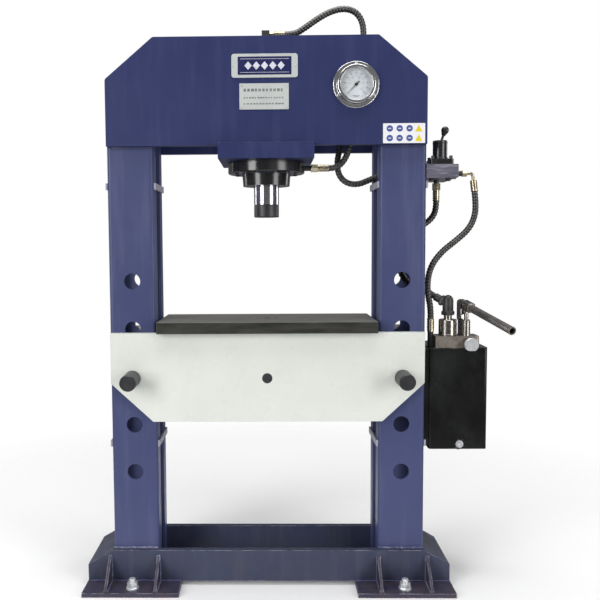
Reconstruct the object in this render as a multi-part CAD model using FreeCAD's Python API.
import FreeCAD, Part
import math
import os

# Hydraulic shop press with a welded H-frame, a double-acting ram, a height-adjustable bed
# on two pins, a lever valve and a hand pump on an oil tank at the right-hand upright.
#
# Frame: the origin is on the floor under the ram's axis. +X points to the right-hand
# upright, which carries the tank, +Y to the rear, and +Z up. All sizes are in millimetres.

V = FreeCAD.Vector
X_AXIS = V(1, 0, 0)
Y_AXIS = V(0, 1, 0)
Z_AXIS = V(0, 0, 1)

# ---------------------------------------------------------------- driving dimensions
# General fits.
running_gap = 0.05          # radial, shaft in a bore
loose_gap = 0.3             # between pieces that move past each other
paint_gap = 0.1             # radial, fixed piece in a hole

# Cylinder, which passes between the head plates and so sets the frame's depth.
bore_radius = 80.0
barrel_wall = 13.5
barrel_radius = bore_radius + barrel_wall
barrel_clearance = 1.5      # barrel to the head plates

# Uprights: two channels each, webs to the front and the rear.
daylight_width = 700.0      # between the uprights
upright_width = 145.0
upright_inner = daylight_width / 2
upright_outer = upright_inner + upright_width
upright_mid = (upright_inner + upright_outer) / 2
upright_face = barrel_radius + barrel_clearance
channel_depth = 58.0        # web face to flange tip
channel_web = 10.0
channel_flange = 9.0
channel_corner = 11.0
batten_height = 20.0
batten_thickness = 6.0
batten_inset = 6.0          # from the upright's front and rear faces

# Foot plates, base beams and gussets.
foot_overhang = 82.0        # outside the upright
foot_inner_reach = 73.0     # inside the upright
foot_outer_x = upright_outer + foot_overhang
foot_length = foot_overhang + upright_width + foot_inner_reach
foot_depth = 408.0
foot_thickness = 14.0
beam_height = 100.0
beam_thickness = 20.0
beam_half_length = foot_outer_x - 2.0
beam_nose_height = 54.0     # height of the beam's vertical end
end_cover_thickness = 6.0
gusset_thickness = 9.0
gusset_foot_inset = 5.0     # gusset toe to the foot plate's edge
gusset_top_drop = 16.0      # gusset top under the beam's top edge
gusset_toe_height = 5.0
anchor_x = upright_mid + 2.5
anchor_y = foot_depth / 2 - 36.0
anchor_radius = 10.0
anchor_chamfer = 1.5
anchor_height = 32.0        # stud above the foot plate
anchor_nut_flats = 30.0
anchor_nut_height = 16.0
anchor_washer_radius = 20.0
anchor_washer_thickness = 4.0

# Head: two plates outside the uprights.
head_bottom = 1387.0
head_height = 327.0
head_half_length = upright_outer - 4.0
head_plate_thickness = 25.0
head_chamfer_x = 148.0
head_chamfer_z = 125.0
head_corner = 12.0
upright_top_drop = 12.0     # upright's top under the head's chamfer corner

# Cylinder carrier, welded under the head plates.
carrier_side_margin = 23.5  # beside the cylinder's flange
carrier_face_margin = 30.0  # in front of and behind the head plates
carrier_thickness = 48.0
carrier_lap = 6.0           # carrier's top above the head plates' lower edge
carrier_corner = 9.0

# Cylinder fittings and ram.
barrel_length = 356.0
flange_radius = barrel_radius + 29.0
flange_height = 36.0
gland_radius = bore_radius - 2.5
gland_tip_radius = gland_radius - 3.0
gland_height = 39.0
gland_spigot_length = 40.0
wiper_height = 7.0
cap_height = 40.0
cap_corner = 4.0
rod_radius = 40.0
piston_height = 60.0
piston_top_gap = 5.0        # piston to cap with the ram up
seal_height = 8.0
seal_depth = 7.0
wiper_radius = rod_radius + 6.0
nose_height = 40.0
nose_chamfer = 2.0
rod_exposed = 59.0          # chrome rod between gland and nose with the ram up
nose_spigot_radius = 16.0
nose_spigot_length = 30.0

# Bed: two plates outside the uprights, spacers, tie bar and two pins.
pin_pitch = 152.0
pin_level = 667.0           # holes that carry the bed
pin_rows_below = 2
pin_rows_above = 2
pin_radius = 25.0
pin_hole_gap = 0.5
pin_front_reach = 85.0      # in front of the bed's front plate
pin_rear_reach = 15.0
pin_chamfer = 3.0
lower_batten_drop = 224.0   # under the bed's holes
upper_batten_drop = 130.0   # under the head
bed_bottom = pin_level - 137.0
bed_height = 280.0
bed_half_length = upright_outer - 5.0
bed_plate_thickness = 20.0
bed_side_gap = 3.0          # bed plate to upright
bed_chamfer_x = 131.0
bed_chamfer_z = 121.0
bed_spacer_thickness = 15.0
bed_spacer_x = upright_inner - 25.0     # spacer's outer face
bed_spacer_drop = 30.0      # above and below the spacer, to the plate's edges
tie_bar_radius = 16.0

# Loose table plate on the bed.
table_end_gap = 8.0         # to the uprights
table_overhang = 27.0       # beyond the bed plates
table_thickness = 35.0
table_chamfer = 2.0
table_centre_hole = 10.0
table_side_hole = 7.0
table_hole_pitch = 30.0

# Pressure gauge in the head's front plate.
gauge_x = upright_inner - 76.0
gauge_z = head_bottom + 178.0
gauge_flange_radius = 70.0
gauge_flange_thickness = 5.0
gauge_case_radius = 54.0
gauge_case_wall = 3.0
gauge_case_front = 17.0     # in front of the head plate
gauge_case_rear = 30.0      # behind the head plate
gauge_bezel_radius = 58.0
gauge_bezel_opening = 49.0
gauge_bezel_height = 6.0
gauge_dial_offset = 6.0     # dial face in front of the head plate
gauge_dial_thickness = 1.5
gauge_glass_thickness = 2.0
gauge_needle_length = 38.0
gauge_needle_tail = 13.0
gauge_needle_width = 3.2
gauge_needle_thickness = 1.0
gauge_needle_lift = 3.0     # above the dial
gauge_hub_radius = 4.5
gauge_hub_thickness = 3.0
gauge_spindle_radius = 1.5
gauge_spindle_reach = 4.0   # behind the dial
gauge_movement_radius = 20.0
gauge_movement_length = 18.0
gauge_zero_angle = 225.0    # needle at rest, from +X towards +Z
gauge_stub_radius = 8.0
gauge_stub_length = 14.0
gauge_line_radius = 3.0

# Plates on the head's front.
name_plate_size = (201.0, 71.0)
name_plate_centre = (-3.0, head_bottom + 237.5)
name_plate_thickness = 3.0
data_plate_size = (150.0, 78.0)
data_plate_centre = (-5.0, head_bottom + 146.0)
data_plate_thickness = 1.5
hazard_plate_size = (128.0, 60.0)
hazard_plate_centre = (upright_mid - 2.5, head_bottom + 32.0)
hazard_plate_thickness = 0.6
plate_corner = 8.0
rivet_radius = 2.6
rivet_height = 1.6
rivet_inset = 7.0

# Valve block on the right-hand upright, with the lever valve on top.
block_width = 98.0
block_bottom = head_bottom - 101.0
block_height = 42.0
valve_x = upright_outer + 52.0
valve_y = -40.0
valve_base_width = 72.0
valve_base_height = 18.0
valve_base_corner = 6.0
valve_body_radius = 22.5
valve_body_height = 59.5
valve_slot_width = 9.0
valve_slot_half = 13.5
valve_slot_depth = 24.0
valve_screw_radius = 4.5
valve_screw_height = 10.0
valve_screw_inset = 8.0
lever_pivot_drop = 12.0     # under the valve body's top
lever_pin_radius = 2.0
lever_rod_radius = 4.0
lever_rod_foot = 5.0        # rod below the pivot
lever_length = 47.0         # pivot to the knob's centre
lever_tilt = 19.0           # from upright, towards +X
knob_radius = 12.0
knob_neck_drop = 17.0       # knob's neck under its centre
knob_neck_radius = 5.5
valve_plug_radius = 5.0
valve_plug_height = 5.0
side_plug_setback = 12.0    # behind the valve's axis
side_plug_rise = 8.0        # above the block's underside
under_plug_reach = 20.0     # from the valve's axis, along X and along -Y

# Oil tank, its bracket and the hand pump.
tank_left = upright_outer + 15.0
tank_width = 182.0
tank_depth = 180.0
tank_bottom = 434.0
tank_height = 320.0
tank_wall = 2.5
tank_corner = 8.0
lid_thickness = 3.0
tank_front = -tank_depth / 2
bracket_width = 32.0
bracket_y = 66.0
bracket_margin = 1.0        # to the lower batten and the tank's top
drain_x = tank_left + 97.0
drain_rise = 16.0
drain_radius = 12.0
drain_flange_thickness = 2.5
drain_flats = 17.4
drain_head = 8.0
pump_left = tank_left + 19.0
pump_width = 137.0
pump_depth = 70.0
pump_height = 36.0
pump_corner = 7.0
outlet_x = tank_left + 64.0
outlet_y = tank_front + 35.0
outlet_radius = 28.5
outlet_height = 51.0
outlet_neck_radius = 12.5
outlet_neck_height = 13.0
elbow_radius = 17.0
elbow_height = 47.0         # straight part, under the domed top
elbow_arm_rise = 36.0
elbow_arm_radius = 13.5
breather_x = tank_left + 130.0
breather_y = 40.0
breather_radius = 12.0
breather_height = 26.0
plunger_x = tank_left + 118.0
plunger_y = tank_front + 19.0
plunger_radius = 7.0
plunger_bore_depth = 78.0   # under the housing's top
plunger_length = 104.0
plunger_end = 8.0           # above the plunger pin
housing_radius = 13.0
housing_height = 51.0
suction_radius = 7.0
suction_length = 270.0
strainer_radius = 20.0
strainer_height = 45.0
return_height = 48.0
return_width = 18.6
return_arm_height = 26.0

# Pump lever: a vertical plane that is turned from straight forwards towards +X.
lever_plane = 16.0          # degrees
lever_drop = 12.0           # degrees under level at rest
lever_down = 12.0           # degrees of travel down from rest
lever_up = 36.0             # degrees of travel up from rest
lever_arm = 32.0            # fulcrum to plunger pin at rest
lever_pin_rise = 44.0       # plunger pin above the housing at rest
lever_cheek_width = 24.0
lever_cheek_height = 30.0
lever_cheek_near = 13.0     # cheeks' start, short of the plunger pin
lever_eye_width = 12.0
lever_eye_radius = 12.0
lever_tang_width = 6.0      # across the lever
lever_tang_length = 10.0    # along the lever
lever_tang_drop = 23.5      # tang's foot under the pin
lever_fork_near = 9.8       # fork beyond the pin's nearest place
lever_fork_far = 14.5       # fork beyond the pin's farthest place
lever_slot_slack = 0.6
plunger_pin_radius = 4.0
plunger_pin_length = 34.0
plunger_pin_head = 6.5
plunger_pin_head_height = 4.5
fulcrum_pin_radius = 4.0
socket_start = 30.0         # plunger pin to the socket tube
socket_length = 226.0
socket_radius = 12.0
socket_bore = 9.0
link_thickness = 4.0
link_width = 19.0
link_length = 46.0
post_width = 20.0
post_margin = 9.0           # post above the link's lower pin

# Release knob of the pump.
release_x = tank_left + 126.0
release_rise = 12.0         # above the tank's lid
release_radius = 21.5
release_flat = 18.9         # knob's flat from its axis
release_thickness = 16.0
release_chamfer = 1.5
release_stem_radius = 5.0
release_stem_length = 10.0
release_seat_depth = 18.0

# Hoses and their fittings.
hose_radius = 10.0
ferrule_radius = 10.6
ferrule_length = 35.0
nut_flats = 23.5
nut_length = 22.0
adapter_radius = 8.5
side_port_drop = 4.0        # right-hand port under the block's middle
side_adapter_length = 24.0
side_nut_flats = 19.0
side_nut_length = 14.0
inner_elbow_x = upright_outer - 21.0
elbow_tube_radius = 5.0
cap_elbow_width = 25.0
cap_elbow_height = 34.0
cap_adapter_height = 20.0
cap_adapter_flats = 22.0
cap_elbow_corner = 3.0
arc_share = 0.45            # of the shorter run, taken by each bend

# ---------------------------------------------------------------- derived places
beam_top = foot_thickness + beam_height
head_top = head_bottom + head_height
head_face = upright_face + head_plate_thickness
upright_top = head_top - head_chamfer_z - upright_top_drop
carrier_length = 2 * (flange_radius + carrier_side_margin)
carrier_depth = 2 * (head_face + carrier_face_margin)
carrier_top = head_bottom + carrier_lap
carrier_bottom = carrier_top - carrier_thickness
flange_bottom = carrier_bottom - flange_height
gland_bottom = flange_bottom - gland_height
barrel_top = flange_bottom + barrel_length
cap_top = barrel_top + cap_height
piston_top = barrel_top - piston_top_gap
piston_bottom = piston_top - piston_height
nose_top = gland_bottom - rod_exposed
nose_bottom = nose_top - nose_height
bed_top = bed_bottom + bed_height
bed_inner = upright_face + bed_side_gap
bed_face = bed_inner + bed_plate_thickness
batten_levels = (pin_level - lower_batten_drop, head_bottom - upper_batten_drop)
table_length = daylight_width - 2 * table_end_gap
table_depth = 2 * (bed_face + table_overhang)
table_top = bed_top + table_thickness
block_right = upright_outer + block_width
block_top = block_bottom + block_height
valve_body_bottom = block_top + valve_base_height
valve_body_top = valve_body_bottom + valve_body_height
lever_pivot_z = valve_body_top - lever_pivot_drop
tank_top = tank_bottom + tank_height
lid_top = tank_top + lid_thickness
pump_top = lid_top + pump_height
housing_top = pump_top + housing_height
lever_pin_level = housing_top + lever_pin_rise
release_z = lid_top + release_rise
port_level = flange_bottom + flange_height / 2
valve_port_level = block_bottom + block_height / 2
side_port_level = valve_port_level - side_port_drop
tank_right = tank_left + tank_width


# ---------------------------------------------------------------- shape helpers
def box(x, y, z):
    """Box between the (low, high) pairs x, y and z."""
    return Part.makeBox(x[1] - x[0], y[1] - y[0], z[1] - z[0], V(x[0], y[0], z[0]))


def rod(start, direction, radius, length):
    """Solid cylinder from start along direction."""
    return Part.makeCylinder(radius, length, V(*start), V(*direction))


def ring(start, direction, outer, inner, length):
    """Hollow cylinder from start along direction."""
    return rod(start, direction, outer, length).cut(rod(start, direction, inner, length))


def face_of(points):
    """Flat face inside the closed outline through the points."""
    return Part.Face(Part.makePolygon([V(*p) for p in points] + [V(*points[0])]))


def plate(outline, y):
    """Plate with an outline of (x, z) points, between the (low, high) pair y."""
    return face_of([(px, y[0], pz) for px, pz in outline]).extrude(V(0, y[1] - y[0], 0))


def hexagon(start, direction, flats, length):
    """Hexagonal bar from start along direction."""
    axis = V(*direction).normalize()
    side = axis.cross(X_AXIS if abs(axis.x) < 0.9 else Z_AXIS).normalize()
    corner = flats / math.sqrt(3)
    points = []
    for step in range(6):
        turn = FreeCAD.Rotation(axis, 60.0 * step)
        points.append(V(*start) + turn.multVec(side) * corner)
    return face_of([tuple(p) for p in points]).extrude(axis * length)


def along(edge, axis):
    """True where a straight edge runs along the axis."""
    if not isinstance(edge.Curve, Part.Line):
        return False
    return abs(abs(edge.tangentAt(edge.FirstParameter).dot(axis)) - 1) < 1e-6


def rounded(shape, radius, axis, picks=lambda centre: True):
    """Rounds the straight edges along axis whose centre picks accepts."""
    edges = [e for e in shape.Edges if along(e, axis) and picks(e.CenterOfMass)]
    return shape.makeFillet(radius, edges)


def both_sides(make):
    """One solid for each side of the press, made by make(sign)."""
    return Part.makeCompound([make(-1), make(1)])


def sorted_pair(a, b):
    """The two values, the lower one first."""
    return (min(a, b), max(a, b))


# ---------------------------------------------------------------- hoses and pipes
def bent_path(points):
    """Straight runs through the points, joined by tangent arcs; also the arcs' radii."""
    knots = [V(*p) for p in points]
    edges = []
    radii = []
    last = knots[0]
    for before, corner, after in zip(knots, knots[1:], knots[2:]):
        run_in = (corner - before).Length
        run_out = (after - corner).Length
        way_in = (corner - before).normalize()
        way_out = (after - corner).normalize()
        turn = way_in.getAngle(way_out)
        trim = arc_share * min(run_in, run_out)
        radius = trim / math.tan(turn / 2)
        start = corner - way_in * trim
        end = corner + way_out * trim
        inward = (way_out - way_in).normalize()
        middle = corner + inward * (radius / math.cos(turn / 2) - radius)
        edges.append(Part.LineSegment(last, start).toShape())
        edges.append(Part.Arc(start, middle, end).toShape())
        radii.append(radius)
        last = end
    edges.append(Part.LineSegment(last, knots[-1]).toShape())
    return Part.Wire(edges), radii


def tube(name, points, radius):
    """Round bar along a bent path; prints its radii and compares its volume."""
    path, radii = bent_path(points)
    start = V(*points[0])
    way = V(*points[1]) - start
    section = Part.Wire(Part.makeCircle(radius, start, way))
    solid = path.makePipeShell([section], True, False)
    share = solid.Volume / (math.pi * radius ** 2 * path.Length)
    shown = " ".join("%.0f" % r for r in radii)
    print("%s: length %.0f mm, volume/section-length %.4f, radii %s" % (name, path.Length, share, shown))
    return solid


# Hose from the cylinder's upper port, over the head and down to the valve block.
upper_hose_end = (440.0, 18.0, valve_port_level)
upper_hose_route = [
    (60.0, 0.0, 1748.0), (92.0, 0.0, 1748.0), (126.0, 4.0, 1770.0), (165.0, 8.0, 1798.0),
    (205.0, 12.0, 1821.0), (248.0, 14.0, 1832.0), (286.0, 16.0, 1823.0), (309.0, 17.0, 1792.0),
    (314.0, 18.0, 1745.0), (308.0, 20.0, 1680.0), (296.0, 22.0, 1600.0), (276.0, 22.0, 1515.0),
    (252.0, 22.0, 1440.0), (236.0, 21.0, 1386.0), (228.0, 20.0, 1342.0), (235.0, 19.0, 1303.0),
    (261.0, 18.0, 1279.0), (297.0, 17.0, 1275.0), (333.0, 17.0, 1290.0), (368.0, 17.0, 1303.0),
    (404.0, 18.0, valve_port_level), upper_hose_end,
]

# Hose from the cylinder's lower port, through the head to the valve block's elbow.
lower_hose_end = (452.0, -18.0, 1375.0)
lower_hose_route = [
    (200.0, 0.0, port_level), (223.0, 0.0, port_level), (244.0, -7.0, 1343.0),
    (258.0, -15.0, 1368.0), (270.0, -20.0, 1404.0), (292.0, -22.0, 1442.0),
    (330.0, -22.0, 1470.0), (375.0, -21.0, 1476.0), (418.0, -20.0, 1457.0),
    (lower_hose_end[0], lower_hose_end[1], 1416.0), lower_hose_end,
]

# Hose from the pump's outlet elbow, through the upright to the valve block's underside.
feed_hose_route = [
    (545.0, 0.0, 1219.0), (545.0, 0.0, 1190.0), (530.0, 0.0, 1162.0), (501.0, 0.0, 1141.0),
    (466.0, 0.0, 1113.0), (437.0, 0.0, 1078.0), (425.0, 0.0, 1035.0), (431.0, -1.0, 991.0),
    (453.0, -3.0, 958.0), (484.0, -9.0, 943.0), (510.0, -20.0, 934.0),
    (530.5, -35.0, 918.5), (553.0, -45.5, 905.3),
]

# Hose from the valve block's right-hand elbow, back to the pump's return fitting.
return_hose_route = [
    (657.0, -40.0, 1247.0), (661.5, -40.0, 1210.0), (659.0, -41.0, 1168.0),
    (640.0, -42.0, 1128.0), (600.0, -44.0, 1093.0), (553.0, -47.0, 1057.0),
    (520.0, -50.0, 1013.0), (508.5, -53.0, 964.0), (511.0, -54.5, 918.0),
    (519.5, -55.0, 880.0), (519.5, -55.0, 845.0),
]


# ---------------------------------------------------------------- uprights
def upright_hole(x, z, y):
    """Pin hole at (x, z), through the (low, high) pair y."""
    return rod((x, y[0], z), (0, 1, 0), pin_radius + pin_hole_gap, y[1] - y[0])


def pin_levels():
    """Heights of the rows of pin holes."""
    rows = range(-pin_rows_below, pin_rows_above + 1)
    return [pin_level + row * pin_pitch for row in rows]


def channel(side, front):
    """One channel of an upright; side is -1 or 1 along X, front is -1 or 1 along Y."""
    x = sorted_pair(side * upright_inner, side * upright_outer)
    z = (foot_thickness, upright_top)
    tip = upright_face - channel_depth
    outer = box(x, sorted_pair(front * tip, front * upright_face), z)
    outer = rounded(outer, channel_corner, Z_AXIS, lambda c: abs(c.y) > upright_face - 1)
    hollow_x = (x[0] + channel_flange, x[1] - channel_flange)
    hollow_y = sorted_pair(front * (tip - 1), front * (upright_face - channel_web))
    section = outer.cut(box(hollow_x, hollow_y, (z[0] - 1, z[1] + 1)))
    web = sorted_pair(front * tip, front * (upright_face + 1))
    for level in pin_levels():
        section = section.cut(upright_hole(side * upright_mid, level, web))
    return section


def battens():
    """Flat bars across the channels' flanges, on the uprights' inner and outer sides."""
    bars = []
    y = (-upright_face + batten_inset, upright_face - batten_inset)
    for side in (-1, 1):
        for face, way in ((upright_inner, -1), (upright_outer, 1)):
            x = sorted_pair(side * face, side * (face + way * batten_thickness))
            for level in batten_levels:
                bars.append(box(x, y, (level, level + batten_height)))
    return Part.makeCompound(bars)


# ---------------------------------------------------------------- base
def foot_plate(side):
    """Foot plate with its two anchor holes."""
    x = sorted_pair(side * (foot_outer_x - foot_length), side * foot_outer_x)
    shape = box(x, (-foot_depth / 2, foot_depth / 2), (0, foot_thickness))
    for y in (-anchor_y, anchor_y):
        hole = rod((side * anchor_x, y, 0), (0, 0, 1), anchor_radius + paint_gap, foot_thickness)
        shape = shape.cut(hole)
    return shape


def base_beam(front):
    """Beam outside the uprights, with sloping ends."""
    nose = foot_thickness + beam_nose_height
    outline = [
        (-beam_half_length, foot_thickness), (beam_half_length, foot_thickness),
        (beam_half_length, nose), (upright_outer, beam_top),
        (-upright_outer, beam_top), (-beam_half_length, nose),
    ]
    faces = sorted_pair(front * upright_face, front * (upright_face + beam_thickness))
    return plate(outline, faces)


def end_cover(side):
    """Sloping plate between the beams, flush with their ends' slope."""
    nose = foot_thickness + beam_nose_height
    outline = [
        (side * upright_outer, beam_top), (side * beam_half_length, nose),
        (side * beam_half_length, nose - end_cover_thickness),
        (side * upright_outer, beam_top - end_cover_thickness),
    ]
    return plate(outline, (-upright_face, upright_face))


def gussets():
    """Triangular stiffeners between the beams and the foot plates."""
    solids = []
    face = upright_face + beam_thickness
    toe = foot_depth / 2 - gusset_foot_inset
    for side in (-1, 1):
        for x in (upright_inner, upright_outer + gusset_thickness):
            for front in (-1, 1):
                outline = [
                    (front * face, foot_thickness), (front * toe, foot_thickness),
                    (front * toe, foot_thickness + gusset_toe_height),
                    (front * face, beam_top - gusset_top_drop),
                ]
                start = side * x - gusset_thickness / 2
                web = face_of([(start, y, z) for y, z in outline])
                solids.append(web.extrude(V(gusset_thickness, 0, 0)))
    return Part.makeCompound(solids)


def anchors(make):
    """One solid at each of the four anchor holes."""
    places = [(sx * anchor_x, sy * anchor_y) for sx in (-1, 1) for sy in (-1, 1)]
    return Part.makeCompound([make(x, y) for x, y in places])


def anchor_stud(x, y):
    """Threaded stud from the floor, with a chamfered end."""
    length = foot_thickness + anchor_height
    body = rod((x, y, 0), (0, 0, 1), anchor_radius, length)
    tip = [e for e in body.Edges if isinstance(e.Curve, Part.Circle) and e.CenterOfMass.z > 1]
    return body.makeChamfer(anchor_chamfer, tip)


def anchor_washer(x, y):
    """Washer on the foot plate."""
    return ring((x, y, foot_thickness), (0, 0, 1), anchor_washer_radius,
                anchor_radius + paint_gap, anchor_washer_thickness)


def anchor_nut(x, y):
    """Nut on the washer."""
    start = (x, y, foot_thickness + anchor_washer_thickness)
    body = hexagon(start, (0, 0, 1), anchor_nut_flats, anchor_nut_height)
    return body.cut(rod(start, (0, 0, 1), anchor_radius + paint_gap, anchor_nut_height))


# ---------------------------------------------------------------- head and carrier
def head_outline():
    """Outline of a head plate, with its upper corners cut off."""
    return [
        (-head_half_length, head_bottom), (head_half_length, head_bottom),
        (head_half_length, head_top - head_chamfer_z),
        (head_half_length - head_chamfer_x, head_top),
        (-head_half_length + head_chamfer_x, head_top),
        (-head_half_length, head_top - head_chamfer_z),
    ]


def head_plate(front):
    """Head plate with the carrier's notch; the front one has the gauge's hole."""
    y = sorted_pair(front * upright_face, front * head_face)
    shape = plate(head_outline(), y)
    shape = rounded(shape, head_corner, Y_AXIS, lambda c: c.z > head_bottom + 1)
    half = carrier_length / 2
    shape = shape.cut(box((-half, half), (y[0] - 1, y[1] + 1), (head_bottom - 1, carrier_top)))
    if front < 0:
        start = (gauge_x, y[0] - 1, gauge_z)
        hole = rod(start, (0, 1, 0), gauge_case_radius + paint_gap, head_plate_thickness + 2)
        shape = shape.cut(hole)
    return shape


def carrier():
    """Thick plate that hangs the cylinder under the head."""
    half_x = carrier_length / 2
    half_y = carrier_depth / 2
    shape = box((-half_x, half_x), (-half_y, half_y), (carrier_bottom, carrier_top))
    shape = rounded(shape, carrier_corner, Y_AXIS, lambda c: c.z > carrier_top - 1)
    bore = rod((0, 0, carrier_bottom - 1), (0, 0, 1), barrel_radius + paint_gap, carrier_thickness + 2)
    return shape.cut(bore)


# ---------------------------------------------------------------- cylinder and ram
def barrel():
    """Cylinder barrel, from the flange's lower face to the cap."""
    return ring((0, 0, flange_bottom), (0, 0, 1), barrel_radius, bore_radius, barrel_length)


def cylinder_flange():
    """Ring that bears on the carrier's underside, with the lower port."""
    start = (0, 0, flange_bottom)
    shape = ring(start, (0, 0, 1), flange_radius, barrel_radius + paint_gap, flange_height)
    rim = [e for e in shape.Edges if isinstance(e.Curve, Part.Circle)
           and e.Curve.Radius > flange_radius - 1 and e.CenterOfMass.z < flange_bottom + 1]
    return shape.makeChamfer(3.0, rim)


def gland():
    """Gland nut with a spigot in the bore and a seat for the wiper."""
    cone = Part.makeCone(gland_tip_radius, gland_radius, gland_height, V(0, 0, gland_bottom))
    spigot = rod((0, 0, flange_bottom), (0, 0, 1), bore_radius - paint_gap, gland_spigot_length)
    shape = cone.fuse(spigot).removeSplitter()
    length = gland_height + gland_spigot_length
    shape = shape.cut(rod((0, 0, gland_bottom), (0, 0, 1), rod_radius + running_gap, length))
    return shape.cut(rod((0, 0, gland_bottom), (0, 0, 1), wiper_radius, wiper_height))


def wiper():
    """Wiper ring round the ram's rod."""
    return ring((0, 0, gland_bottom), (0, 0, 1), wiper_radius - running_gap,
                rod_radius + running_gap, wiper_height)


def cylinder_cap():
    """Cap on the barrel, with a spigot in the bore."""
    disc = rod((0, 0, barrel_top), (0, 0, 1), barrel_radius, cap_height)
    rim = [e for e in disc.Edges if isinstance(e.Curve, Part.Circle) and e.CenterOfMass.z > barrel_top + 1]
    return disc.makeFillet(cap_corner, rim)


def seal_levels():
    """Lower faces of the piston's two seals."""
    third = piston_height / 3
    return [piston_bottom + third - seal_height / 2, piston_bottom + 2 * third - seal_height / 2]


def piston():
    """Piston with two seal grooves."""
    radius = bore_radius - running_gap
    shape = rod((0, 0, piston_bottom), (0, 0, 1), radius, piston_height)
    for level in seal_levels():
        groove = ring((0, 0, level), (0, 0, 1), radius + 1, radius - seal_depth, seal_height)
        shape = shape.cut(groove)
    return shape


def piston_seals():
    """Seal rings in the piston's grooves."""
    radius = bore_radius - running_gap
    return Part.makeCompound([
        ring((0, 0, level), (0, 0, 1), radius, radius - seal_depth, seal_height)
        for level in seal_levels()])


def ram_rod():
    """Chromed rod from the nose to the piston, with a threaded seat for the nose."""
    shape = rod((0, 0, nose_top), (0, 0, 1), rod_radius, piston_bottom - nose_top)
    seat = rod((0, 0, nose_top), (0, 0, 1), nose_spigot_radius + paint_gap, nose_spigot_length + 1)
    return shape.cut(seat)


def ram_nose():
    """Hardened nose, screwed into the rod."""
    head = rod((0, 0, nose_bottom), (0, 0, 1), rod_radius, nose_height)
    rims = [e for e in head.Edges if isinstance(e.Curve, Part.Circle)]
    head = head.makeChamfer(nose_chamfer, rims)
    return head.fuse(rod((0, 0, nose_top - 1), (0, 0, 1), nose_spigot_radius, nose_spigot_length + 1))


# ---------------------------------------------------------------- bed
def bed_plate(front):
    """Bed plate outside the uprights, with its lower corners cut off."""
    outline = [
        (-bed_half_length, bed_top), (bed_half_length, bed_top),
        (bed_half_length, bed_bottom + bed_chamfer_z),
        (bed_half_length - bed_chamfer_x, bed_bottom),
        (-bed_half_length + bed_chamfer_x, bed_bottom),
        (-bed_half_length, bed_bottom + bed_chamfer_z),
    ]
    y = sorted_pair(front * bed_inner, front * bed_face)
    shape = plate(outline, y)
    for side in (-1, 1):
        shape = shape.cut(upright_hole(side * upright_mid, pin_level, (y[0] - 1, y[1] + 1)))
    bar = rod((0, y[0] - 1, pin_level), (0, 1, 0), tie_bar_radius + paint_gap, bed_plate_thickness + 2)
    return shape.cut(bar)


def bed_spacer(side):
    """Cross plate between the bed plates, next to an upright."""
    x = sorted_pair(side * (bed_spacer_x - bed_spacer_thickness), side * bed_spacer_x)
    return box(x, (-bed_inner, bed_inner), (bed_bottom + bed_spacer_drop, bed_top - bed_spacer_drop))


def tie_bar():
    """Bar through the middle of both bed plates."""
    return rod((0, -bed_face, pin_level), (0, 1, 0), tie_bar_radius, 2 * bed_face)


def bed_pin(side):
    """Pin through the bed plates and an upright."""
    length = 2 * bed_face + pin_front_reach + pin_rear_reach
    body = rod((side * upright_mid, -bed_face - pin_front_reach, pin_level), (0, 1, 0), pin_radius, length)
    rims = [e for e in body.Edges if isinstance(e.Curve, Part.Circle)]
    return body.makeChamfer(pin_chamfer, rims)


def table():
    """Loose table plate on the bed, with three holes in a row."""
    half_x = table_length / 2
    half_y = table_depth / 2
    shape = box((-half_x, half_x), (-half_y, half_y), (bed_top, table_top))
    shape = shape.makeChamfer(table_chamfer, [e for e in shape.Edges if along(e, Z_AXIS)])
    holes = [(0, table_centre_hole)]
    holes += [(side * table_hole_pitch, table_side_hole) for side in (-1, 1)]
    for x, radius in holes:
        shape = shape.cut(rod((x, 0, bed_top - 1), (0, 0, 1), radius, table_thickness + 2))
    return shape


# ---------------------------------------------------------------- gauge and plates
def gauge_disc(front, outer, inner, thickness):
    """Ring on the gauge's axis; front is its distance in front of the head plate."""
    start = (gauge_x, -head_face - front, gauge_z)
    if inner:
        return ring(start, (0, 1, 0), outer, inner, thickness)
    return rod(start, (0, 1, 0), outer, thickness)


def gauge_case():
    """Case through the head plate, open at the dial, with its pressure stub."""
    length = gauge_case_front + head_plate_thickness + gauge_case_rear
    inner = gauge_case_radius - gauge_case_wall
    shell = gauge_disc(gauge_case_front, gauge_case_radius, 0, length)
    shell = shell.cut(gauge_disc(gauge_case_front, inner, 0, length - gauge_case_wall))
    rear = -head_face - gauge_case_front + length
    stub = rod((gauge_x, rear, gauge_z), (0, 1, 0), gauge_stub_radius, gauge_stub_length)
    return shell.fuse(stub)


def gauge_flange():
    """Mounting flange on the head plate."""
    shape = gauge_disc(gauge_flange_thickness, gauge_flange_radius,
                       gauge_case_radius + paint_gap, gauge_flange_thickness)
    front = -head_face - gauge_flange_thickness
    rim = [e for e in shape.Edges if isinstance(e.Curve, Part.Circle)
           and e.Curve.Radius > gauge_flange_radius - 1 and e.CenterOfMass.y < front + 1]
    return shape.makeFillet(2.0, rim)


def gauge_bezel():
    """Rolled bezel in front of the case."""
    front = gauge_case_front + gauge_bezel_height
    shape = gauge_disc(front, gauge_bezel_radius, gauge_bezel_opening, gauge_bezel_height)
    rim = [e for e in shape.Edges if isinstance(e.Curve, Part.Circle)
           and e.Curve.Radius > gauge_bezel_radius - 1 and e.CenterOfMass.y < -head_face - front + 1]
    return shape.makeFillet(3.0, rim)


def gauge_dial():
    """Dial plate inside the case."""
    inner = gauge_case_radius - gauge_case_wall
    return gauge_disc(gauge_dial_offset, inner - paint_gap, gauge_spindle_radius + loose_gap,
                      gauge_dial_thickness)


def gauge_glass():
    """Glass behind the bezel."""
    inner = gauge_case_radius - gauge_case_wall
    return gauge_disc(gauge_case_front, inner - paint_gap, 0, gauge_glass_thickness)


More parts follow.
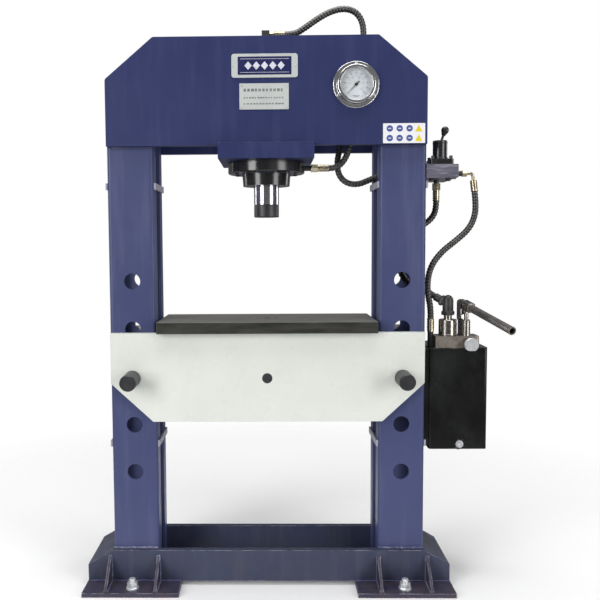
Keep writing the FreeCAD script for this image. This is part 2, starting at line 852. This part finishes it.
def gauge_needle():
    """Needle with hub and spindle, at its rest angle."""
    front = gauge_dial_offset + gauge_needle_lift
    y = (-head_face - front, -head_face - front + gauge_needle_thickness)
    half = gauge_needle_width / 2
    outline = [
        (gauge_x - gauge_needle_tail, gauge_z - half), (gauge_x, gauge_z - half),
        (gauge_x + gauge_needle_length, gauge_z), (gauge_x, gauge_z + half),
        (gauge_x - gauge_needle_tail, gauge_z + half),
    ]
    shape = plate(outline, y)
    shape.rotate(V(gauge_x, 0, gauge_z), V(0, -1, 0), gauge_zero_angle)
    hub_front = front + gauge_hub_thickness / 2
    shape = shape.fuse(gauge_disc(hub_front, gauge_hub_radius, 0, gauge_hub_thickness))
    spindle_length = front - gauge_dial_offset + gauge_dial_thickness + gauge_spindle_reach
    return shape.fuse(gauge_disc(front, gauge_spindle_radius, 0, spindle_length))


def movement():
    """Body behind the dial that carries the needle's spindle."""
    start = gauge_dial_offset - gauge_dial_thickness
    body = gauge_disc(start - loose_gap, gauge_movement_radius, 0, gauge_movement_length)
    hole = gauge_spindle_reach + 2.0
    return body.cut(gauge_disc(start, gauge_spindle_radius + running_gap, 0, hole))


def gauge_line():
    """Pipe from the cylinder's cap to the gauge's stub."""
    stub_end = -head_face + head_plate_thickness + gauge_case_rear + gauge_stub_length
    level = barrel_top + cap_height / 2
    return tube("gauge_line", [
        (barrel_radius, 0.0, level), (180.0, 1.0, level - 2.0), (248.0, 3.0, level - 42.0),
        (gauge_x, 6.0, gauge_z + 40.0), (gauge_x + 1.0, 2.0, gauge_z + 8.0),
        (gauge_x, stub_end + 22.0, gauge_z), (gauge_x, stub_end, gauge_z)],
        gauge_line_radius)


def front_plate(size, centre, thickness, corner):
    """Thin plate on the head's front, with rounded corners."""
    x = (centre[0] - size[0] / 2, centre[0] + size[0] / 2)
    z = (centre[1] - size[1] / 2, centre[1] + size[1] / 2)
    return rounded(box(x, (-head_face - thickness, -head_face), z), corner, Y_AXIS)


def plate_rivets():
    """Rivets of the name plate and the data plate."""
    heads = []
    name_x = name_plate_size[0] / 2 - rivet_inset
    data_x = data_plate_size[0] / 2 - rivet_inset
    data_z = data_plate_size[1] / 2 - rivet_inset
    places = [(name_plate_centre, (s * name_x, 0), name_plate_thickness) for s in (-1, 1)]
    places += [(data_plate_centre, (s * data_x, t * data_z), data_plate_thickness)
               for s in (-1, 1) for t in (-1, 1)]
    for centre, offset, thickness in places:
        start = (centre[0] + offset[0], -head_face - thickness, centre[1] + offset[1])
        head = rod(start, (0, -1, 0), rivet_radius, rivet_height)
        rim = [e for e in head.Edges if isinstance(e.Curve, Part.Circle)
               and e.CenterOfMass.y < start[1] - rivet_height / 2]
        heads.append(head.makeFillet(1.0, rim))
    return Part.makeCompound(heads)


# ---------------------------------------------------------------- valve
def valve_block():
    """Manifold on the right-hand upright's outer side."""
    shape = box((upright_outer, block_right), (-upright_face, upright_face), (block_bottom, block_top))
    return rounded(shape, 4.0, Y_AXIS, lambda c: c.x > block_right - 1)


def valve_base():
    """Square foot of the lever valve."""
    half = valve_base_width / 2
    shape = box((valve_x - half, valve_x + half), (valve_y - half, valve_y + half),
                (block_top, valve_body_bottom))
    return rounded(shape, valve_base_corner, Z_AXIS)


def valve_body():
    """Round body with the lever's slot and its cross-pin hole."""
    start = (valve_x, valve_y, valve_body_bottom)
    shape = rod(start, (0, 0, 1), valve_body_radius, valve_body_height)
    rim = [e for e in shape.Edges if isinstance(e.Curve, Part.Circle) and e.CenterOfMass.z > start[2] + 1]
    shape = shape.makeFillet(2.0, rim)
    half = valve_slot_width / 2
    slot = box((valve_x - valve_slot_half, valve_x + valve_slot_half), (valve_y - half, valve_y + half),
               (valve_body_top - valve_slot_depth, valve_body_top + 1))
    shape = shape.cut(slot)
    pin = rod((valve_x, valve_y - valve_body_radius, lever_pivot_z), (0, 1, 0),
              lever_pin_radius, 2 * valve_body_radius)
    return shape.cut(pin)


def valve_lever_pin():
    """Cross pin that the lever turns on."""
    length = 2 * valve_body_radius - 3.0
    return rod((valve_x, valve_y - length / 2, lever_pivot_z), (0, 1, 0), lever_pin_radius, length)


def valve_screws():
    """Screws in the corners of the valve's foot."""
    reach = valve_base_width / 2 - valve_screw_inset
    return Part.makeCompound([
        rod((valve_x + sx * reach, valve_y + sy * reach, valve_body_bottom), (0, 0, 1),
            valve_screw_radius, valve_screw_height)
        for sx in (-1, 1) for sy in (-1, 1)])


def tilted(shape):
    """Shape on the lever's upright axis, tilted to the lever's rest angle."""
    turned = shape.copy()
    turned.rotate(V(valve_x, valve_y, lever_pivot_z), Y_AXIS, lever_tilt)
    return turned


def valve_lever():
    """Lever rod with the hole for its cross pin."""
    start = (valve_x, valve_y, lever_pivot_z - lever_rod_foot)
    shape = rod(start, (0, 0, 1), lever_rod_radius, lever_rod_foot + lever_length - knob_neck_drop)
    reach = 2 * lever_rod_radius
    hole = rod((valve_x, valve_y - reach, lever_pivot_z), (0, 1, 0),
               lever_pin_radius + running_gap, 2 * reach)
    return tilted(shape.cut(hole))


def valve_knob():
    """Drop-shaped knob on the lever."""
    centre = lever_pivot_z + lever_length
    neck = centre - knob_neck_drop
    lean = math.acos((knob_radius - knob_neck_radius) / knob_neck_drop)
    touch_r = knob_radius * math.sin(lean)
    touch_z = centre - knob_radius * math.cos(lean)
    cone = Part.makeCone(knob_neck_radius, touch_r, touch_z - neck, V(valve_x, valve_y, neck))
    ball = Part.makeSphere(knob_radius, V(valve_x, valve_y, centre))
    return tilted(cone.fuse(ball))


def valve_plugs():
    """Blanking plugs in the block's right side and underside."""
    right = (block_right, valve_y + side_plug_setback, block_bottom + side_plug_rise)
    low = (valve_x + under_plug_reach, valve_y - under_plug_reach, block_bottom)
    side = rod(right, (1, 0, 0), valve_plug_radius, valve_plug_height)
    under = rod(low, (0, 0, -1), valve_plug_radius, valve_plug_height)
    return Part.makeCompound([side, under])


# ---------------------------------------------------------------- tank
def tank_shell():
    """Open-topped sheet-metal tank."""
    x = (tank_left, tank_right)
    y = (tank_front, -tank_front)
    outer = rounded(box(x, y, (tank_bottom, tank_top)), tank_corner, Z_AXIS)
    inner_x = (x[0] + tank_wall, x[1] - tank_wall)
    inner_y = (y[0] + tank_wall, y[1] - tank_wall)
    inner = box(inner_x, inner_y, (tank_bottom + tank_wall, tank_top + 1))
    return outer.cut(rounded(inner, tank_corner - tank_wall, Z_AXIS))


def tank_lid():
    """Lid, with the hole for the suction pipe."""
    shape = box((tank_left, tank_right), (tank_front, -tank_front), (tank_top, lid_top))
    shape = rounded(shape, tank_corner, Z_AXIS)
    return shape.cut(rod((outlet_x, outlet_y, tank_top - 1), (0, 0, 1),
                         suction_radius + paint_gap, lid_thickness + 2))


def tank_brackets():
    """Two bars that hold the tank off the upright."""
    z = (batten_levels[0] + batten_height + bracket_margin, tank_top - bracket_margin)
    bars = []
    for side in (-1, 1):
        y = (side * bracket_y - bracket_width / 2, side * bracket_y + bracket_width / 2)
        bars.append(box((upright_outer, tank_left), y, z))
    return Part.makeCompound(bars)


def drain_plug():
    """Drain plug low on the tank's front."""
    start = (drain_x, tank_front, tank_bottom + drain_rise)
    flange = rod(start, (0, -1, 0), drain_radius, drain_flange_thickness)
    seat = (start[0], start[1] - drain_flange_thickness, start[2])
    head = hexagon(seat, (0, -1, 0), drain_flats, drain_head)
    return flange.fuse(head)


# ---------------------------------------------------------------- pump
def plunger_bore(gap):
    """Space of the plunger in the housing and the block, wider by gap."""
    start = (plunger_x, plunger_y, housing_top - plunger_bore_depth)
    return rod(start, (0, 0, 1), plunger_radius + gap, plunger_bore_depth)


def pump_block():
    """Steel block on the lid that holds the pump's parts."""
    front = tank_front
    shape = box((pump_left, pump_left + pump_width), (front, front + pump_depth), (lid_top, pump_top))
    shape = rounded(shape, pump_corner, Z_AXIS, lambda c: c.x > pump_left + 1)
    shape = shape.cut(plunger_bore(running_gap))
    seat = rod((release_x, front, release_z), (0, 1, 0),
               release_stem_radius + running_gap, release_seat_depth)
    return shape.cut(seat)


def pump_outlet():
    """Round outlet body on the block, with its neck."""
    start = (outlet_x, outlet_y, pump_top)
    body = rod(start, (0, 0, 1), outlet_radius, outlet_height)
    rims = [e for e in body.Edges if isinstance(e.Curve, Part.Circle)]
    body = body.makeChamfer(2.0, rims)
    neck = rod((outlet_x, outlet_y, pump_top + outlet_height), (0, 0, 1),
               outlet_neck_radius, outlet_neck_height)
    return body.fuse(neck)


def pump_elbow():
    """Domed elbow on the outlet, whose arm meets the feed hose."""
    start = V(outlet_x, outlet_y, pump_top + outlet_height + outlet_neck_height)
    body = rod(tuple(start), (0, 0, 1), elbow_radius, elbow_height)
    body = body.fuse(Part.makeSphere(elbow_radius, start + Z_AXIS * elbow_height))
    centre = start + Z_AXIS * elbow_arm_rise
    end = V(*feed_hose_route[-1])
    way = (end - centre).normalize()
    arm = rod(tuple(centre), tuple(way), elbow_arm_radius, (end - centre).Length)
    return body.fuse(arm)


def plunger_housing():
    """Round housing that guides the plunger."""
    start = (plunger_x, plunger_y, pump_top)
    body = rod(start, (0, 0, 1), housing_radius, housing_height)
    rim = [e for e in body.Edges if isinstance(e.Curve, Part.Circle) and e.CenterOfMass.z > pump_top + 1]
    return body.makeChamfer(2.0, rim).cut(plunger_bore(running_gap))


def breather():
    """Filler and breather cap on the tank's lid, behind the pump."""
    body = rod((breather_x, breather_y, lid_top), (0, 0, 1), breather_radius, breather_height)
    rim = [e for e in body.Edges if isinstance(e.Curve, Part.Circle) and e.CenterOfMass.z > lid_top + 1]
    return body.makeFillet(2.0, rim)


def return_fitting():
    """Elbow at the block's left end, under the return hose's ferrule."""
    x = return_hose_route[-1][0]
    half = return_width / 2
    post = rod((x, outlet_y, lid_top), (0, 0, 1), half, return_height)
    arm = box((x, pump_left), (outlet_y - half, outlet_y + half), (lid_top, lid_top + return_arm_height))
    return post.fuse(arm)


def suction_pipe():
    """Pipe from the block down into the oil."""
    return rod((outlet_x, outlet_y, lid_top), (0, 0, -1), suction_radius, suction_length)


def strainer():
    """Strainer at the foot of the suction pipe."""
    top = lid_top - suction_length
    return rod((outlet_x, outlet_y, top), (0, 0, -1), strainer_radius, strainer_height)


# Directions in the lever's plane: forward is level and points away from the fulcrum,
# across is the pivots' axis: turning about minus across lifts the lever.
lever_forward = V(math.sin(math.radians(lever_plane)), -math.cos(math.radians(lever_plane)), 0)
plunger_pin_place = V(plunger_x, plunger_y, lever_pin_level)
lever_level_arm = lever_arm * math.cos(math.radians(lever_drop))
fulcrum = plunger_pin_place - lever_forward * lever_level_arm
fulcrum = fulcrum + Z_AXIS * (lever_arm * math.sin(math.radians(lever_drop)))


def lever_place(shape):
    """Moves a shape from the lever's own axes to its rest place.

    In its own axes the fulcrum is the origin, +X runs along the lever, +Y is the pivots'
    axis and +Z is up.
    """
    placed = shape.copy()
    placed.rotate(V(0, 0, 0), Y_AXIS, lever_drop)
    placed.rotate(V(0, 0, 0), Z_AXIS, lever_plane - 90.0)
    placed.translate(fulcrum)
    return placed


def plunger_place(shape):
    """Moves a shape from axes at the plunger pin to its rest place, kept upright."""
    placed = shape.copy()
    placed.rotate(V(0, 0, 0), Z_AXIS, lever_plane - 90.0)
    placed.translate(plunger_pin_place)
    return placed


def slot_range():
    """Nearest and farthest the plunger pin comes to the fulcrum, along the lever."""
    low = math.radians(-lever_drop - lever_down)
    high = math.radians(-lever_drop + lever_up)
    return lever_level_arm, lever_level_arm / math.cos(max(abs(low), abs(high)))


def lever_head():
    """Forged lever head: fulcrum eye, fork with the pin's slot, and the socket's root."""
    half = lever_cheek_width / 2
    eye = rod((0, -lever_eye_width / 2, 0), (0, 1, 0), lever_eye_radius, lever_eye_width)
    neck = box((0, lever_arm), (-lever_eye_width / 2, lever_eye_width / 2),
               (-lever_eye_radius, lever_eye_radius))
    start = lever_arm - lever_cheek_near
    end = lever_arm + socket_start
    body = box((start, end), (-half, half), (-lever_cheek_height / 2, lever_cheek_height / 2))
    body = rounded(body, 4.0, X_AXIS)
    shape = eye.fuse(neck).fuse(body).removeSplitter()
    near, far = slot_range()
    reach = plunger_pin_radius + lever_slot_slack
    tang_half = lever_tang_width / 2 + loose_gap
    fork_x = (near - lever_fork_near, far + lever_fork_far)
    fork = box(fork_x, (-tang_half, tang_half), (-lever_cheek_height, lever_cheek_height))
    shape = shape.cut(fork)
    slot = box((near, far), (-half - 1, half + 1), (-reach, reach))
    for x in (near, far):
        slot = slot.fuse(rod((x, -half - 1, 0), (0, 1, 0), reach, lever_cheek_width + 2))
    shape = shape.cut(slot)
    hole = rod((0, -half, 0), (0, 1, 0), fulcrum_pin_radius + running_gap, lever_cheek_width)
    return lever_place(shape.cut(hole))


def lever_socket():
    """Open tube that takes the pump's handle bar."""
    start = lever_arm + socket_start
    return lever_place(ring((start, 0, 0), (1, 0, 0), socket_radius, socket_bore, socket_length))


def plunger():
    """Plunger rod with a flat tang for the pin."""
    shape = rod((0, 0, plunger_end - plunger_length), (0, 0, 1), plunger_radius, plunger_length)
    half_x = lever_tang_length / 2
    half_y = lever_tang_width / 2
    wide = (-2 * plunger_radius, 2 * plunger_radius)
    rise = (-lever_tang_drop, 2 * plunger_end)
    top = box(wide, wide, rise)
    tang = box((-half_x, half_x), (-half_y, half_y), rise)
    shape = shape.cut(top.cut(tang))
    hole = rod((0, -plunger_radius, 0), (0, 1, 0), plunger_pin_radius, 2 * plunger_radius)
    return plunger_place(shape.cut(hole))


def plunger_pin():
    """Pin in the plunger's tang, with a head on each side of the fork."""
    half = plunger_pin_length / 2
    shape = rod((0, -half, 0), (0, 1, 0), plunger_pin_radius, plunger_pin_length)
    for y in (-half, half - plunger_pin_head_height):
        shape = shape.fuse(rod((0, y, 0), (0, 1, 0), plunger_pin_head, plunger_pin_head_height))
    return plunger_place(shape)


def fulcrum_place(shape):
    """Moves a shape from axes at the fulcrum to its place, kept upright."""
    placed = shape.copy()
    placed.rotate(V(0, 0, 0), Z_AXIS, lever_plane - 90.0)
    placed.translate(fulcrum)
    return placed


def fulcrum_links():
    """Two link plates between the post and the lever's eye."""
    plates = []
    gap = lever_eye_width / 2 + loose_gap
    for side in (-1, 1):
        y = sorted_pair(side * gap, side * (gap + link_thickness))
        shape = box((-link_width / 2, link_width / 2), y, (-link_length, 0))
        for z in (0, -link_length):
            shape = shape.fuse(rod((0, y[0], z), (0, 1, 0), link_width / 2, link_thickness))
        for z in (0, -link_length):
            shape = shape.cut(rod((0, y[0] - 1, z), (0, 1, 0), fulcrum_pin_radius, link_thickness + 2))
        plates.append(fulcrum_place(shape))
    return Part.makeCompound(plates)


def fulcrum_pins():
    """Pins at both ends of the link plates."""
    length = lever_eye_width + 2 * (loose_gap + link_thickness) + 4.0
    return Part.makeCompound([
        fulcrum_place(rod((0, -length / 2, z), (0, 1, 0), fulcrum_pin_radius, length))
        for z in (0, -link_length)])


def fulcrum_post():
    """Post on the block that holds the link plates' lower pin."""
    foot = pump_top - fulcrum.z
    half = post_width / 2
    width = lever_eye_width / 2
    shape = box((-half, half), (-width, width), (foot, -link_length + post_margin))
    shape = shape.cut(rod((0, -width - 1, -link_length), (0, 1, 0), fulcrum_pin_radius, 2 * width + 2))
    return fulcrum_place(shape)


def release_knob():
    """Knurled knob with one flat, on its stem."""
    face = tank_front - release_stem_length
    disc = rod((release_x, face - release_thickness, release_z), (0, 1, 0),
               release_radius, release_thickness)
    rims = [e for e in disc.Edges if isinstance(e.Curve, Part.Circle)]
    disc = disc.makeChamfer(release_chamfer, rims)
    flat = box((release_x - release_radius, release_x + release_radius),
               (face - release_thickness - 1, face + 1),
               (release_z - release_radius - 1, release_z - release_flat))
    return disc.cut(flat)


def release_stem():
    """Valve stem behind the release knob."""
    start = (release_x, tank_front - release_stem_length, release_z)
    return rod(start, (0, 1, 0), release_stem_radius, release_stem_length + release_seat_depth - 1.0)


# ---------------------------------------------------------------- hose fittings
def ferrules():
    """Crimped ferrules at the hoses' ends; each meets its hose face to face."""
    upper = upper_hose_route[0]
    lower = lower_hose_route[0]
    feed = feed_hose_route[0]
    back = return_hose_route[0]
    tail = return_hose_route[-1]
    tilt = V(*back) - V(*return_hose_route[1])
    return Part.makeCompound([
        rod(upper, (-1, 0, 0), ferrule_radius, ferrule_length),
        rod(upper_hose_end, (1, 0, 0), ferrule_radius, ferrule_length),
        rod(lower, (-1, 0, 0), ferrule_radius, ferrule_length),
        rod(lower_hose_end, (0, 0, -1), ferrule_radius, ferrule_length),
        rod(feed, (0, 0, 1), ferrule_radius, ferrule_length),
        rod(back, tuple(tilt.normalize()), ferrule_radius, ferrule_length),
        rod(tail, (0, 0, -1), ferrule_radius, tail[2] - lid_top - return_height)])


def nuts():
    """Swivel nuts between the ferrules and the ports."""
    upper = upper_hose_route[0]
    lower = lower_hose_route[0]
    feed = feed_hose_route[0]
    half = cap_elbow_width / 2
    upper_start = upper_hose_end[0] + ferrule_length
    back = (block_right + side_adapter_length, return_hose_route[0][1], side_port_level)
    return Part.makeCompound([
        hexagon((half, upper[1], upper[2]), (1, 0, 0), nut_flats, upper[0] - ferrule_length - half),
        hexagon((upper_start, upper_hose_end[1], upper_hose_end[2]), (1, 0, 0), nut_flats,
                upright_outer - upper_start),
        hexagon((lower[0] - ferrule_length, lower[1], lower[2]), (-1, 0, 0), nut_flats, nut_length),
        hexagon((inner_elbow_x, lower_hose_end[1], valve_port_level), (1, 0, 0), nut_flats,
                upright_outer - inner_elbow_x),
        hexagon((feed[0], feed[1], feed[2] + ferrule_length), (0, 0, 1), nut_flats, nut_length),
        hexagon(back, (1, 0, 0), side_nut_flats, side_nut_length)])


def adapters():
    """Black port adapters behind the nuts."""
    lower = lower_hose_route[0]
    feed = feed_hose_route[0]
    flange_side = math.sqrt(flange_radius ** 2 - adapter_radius ** 2)
    reach = ferrule_length + nut_length
    back = (block_right, return_hose_route[0][1], side_port_level)
    return Part.makeCompound([
        rod((flange_side, lower[1], lower[2]), (1, 0, 0), adapter_radius, lower[0] - reach - flange_side),
        rod((feed[0], feed[1], feed[2] + reach), (0, 0, 1), adapter_radius, block_bottom - feed[2] - reach),
        rod(back, (1, 0, 0), adapter_radius, side_adapter_length)])


def cap_elbow():
    """Square elbow on the cylinder's cap, under the upper hose."""
    half = cap_elbow_width / 2
    stem = hexagon((0, 0, cap_top), (0, 0, 1), cap_adapter_flats, cap_adapter_height)
    z = (cap_top + cap_adapter_height, cap_top + cap_adapter_height + cap_elbow_height)
    return stem.fuse(rounded(box((-half, half), (-half, half), z), cap_elbow_corner, Z_AXIS))


def elbow_tubes():
    """Bent steel tubes at the valve block's elbow fittings."""
    back = return_hose_route[0]
    tilt = (V(*back) - V(*return_hose_route[1])).normalize()
    top = V(*back) + tilt * ferrule_length
    corner = top + tilt * ((side_port_level - top.z) / tilt.z)
    start_x = block_right + side_adapter_length + side_nut_length
    outer = tube("right_elbow", [(start_x, corner.y, side_port_level), tuple(corner), tuple(top)],
                 elbow_tube_radius)
    inner = tube("left_elbow", [
        (inner_elbow_x, lower_hose_end[1], valve_port_level),
        (lower_hose_end[0], lower_hose_end[1], valve_port_level),
        (lower_hose_end[0], lower_hose_end[1], lower_hose_end[2] - ferrule_length)], elbow_tube_radius)
    return Part.makeCompound([outer, inner])


# ---------------------------------------------------------------- all pieces
nodes = {
    "left_upright_front_channel": channel(-1, -1),
    "left_upright_rear_channel": channel(-1, 1),
    "right_upright_front_channel": channel(1, -1),
    "right_upright_rear_channel": channel(1, 1),
    "upright_battens": battens(),
    "left_foot_plate": foot_plate(-1),
    "right_foot_plate": foot_plate(1),
    "front_base_beam": base_beam(-1),
    "rear_base_beam": base_beam(1),
    "base_end_covers": both_sides(end_cover),
    "foot_gussets": gussets(),
    "anchor_bolts": Part.makeCompound([anchors(anchor_stud), anchors(anchor_washer), anchors(anchor_nut)]),
    "front_head_plate": head_plate(-1),
    "rear_head_plate": head_plate(1),
    "cylinder_carrier": carrier(),
    "cylinder_barrel": barrel(),
    "cylinder_flange": cylinder_flange(),
    "cylinder_gland": gland(),
    "rod_wiper": wiper(),
    "cylinder_cap": cylinder_cap(),
    "piston": piston(),
    "piston_seals": piston_seals(),
    "ram_rod": ram_rod(),
    "ram_nose": ram_nose(),
    "front_bed_plate": bed_plate(-1),
    "rear_bed_plate": bed_plate(1),
    "bed_spacers": Part.makeCompound([both_sides(bed_spacer), tie_bar()]),
    "left_bed_pin": bed_pin(-1),
    "right_bed_pin": bed_pin(1),
    "table_plate": table(),
    "gauge_case": Part.makeCompound([gauge_case(), movement()]),
    "gauge_bezel": Part.makeCompound([gauge_flange(), gauge_bezel()]),
    "gauge_dial": gauge_dial(),
    "gauge_glass": gauge_glass(),
    "gauge_needle": gauge_needle(),
    "gauge_line": gauge_line(),
    "head_signs": Part.makeCompound([
        front_plate(name_plate_size, name_plate_centre, name_plate_thickness, plate_corner),
        front_plate(data_plate_size, data_plate_centre, data_plate_thickness, 1.5),
        front_plate(hazard_plate_size, hazard_plate_centre, hazard_plate_thickness, 2.0)]),
    "plate_rivets": plate_rivets(),
    "valve_block": valve_block(),
    "valve_body": Part.makeCompound([valve_base(), valve_body()]),
    "valve_fasteners": Part.makeCompound([valve_screws(), valve_lever_pin(), valve_plugs()]),
    "valve_lever": Part.makeCompound([valve_lever(), valve_knob()]),
    "tank_shell": tank_shell(),
    "tank_lid": Part.makeCompound([tank_lid(), breather()]),
    "tank_brackets": tank_brackets(),
    "drain_plug": drain_plug(),
    "pump_block": pump_block(),
    "pump_outlet": pump_outlet(),
    "pump_housing": Part.makeCompound([plunger_housing(), fulcrum_post()]),
    "pump_fittings": Part.makeCompound([pump_elbow(), return_fitting(), cap_elbow(), adapters()]),
    "suction_strainer": Part.makeCompound([suction_pipe(), strainer()]),
    "fulcrum_links": Part.makeCompound([fulcrum_links(), fulcrum_pins()]),
    "pump_plunger": Part.makeCompound([plunger(), plunger_pin()]),
    "pump_lever": Part.makeCompound([lever_head(), lever_socket()]),
    "release_knob": Part.makeCompound([release_knob(), release_stem()]),
    "hose_fittings": Part.makeCompound([ferrules(), nuts(), elbow_tubes()]),
    "upper_port_hose": tube("upper_port_hose", upper_hose_route, hose_radius),
    "lower_port_hose": tube("lower_port_hose", lower_hose_route, hose_radius),
    "pump_feed_hose": tube("pump_feed_hose", feed_hose_route, hose_radius),
    "pump_return_hose": tube("pump_return_hose", return_hose_route, hose_radius),
}

os.makedirs("parts", exist_ok=True)
for name, shape in nodes.items():
    shape.exportStep("parts/" + name + ".step")
print(len(nodes), "nodes")
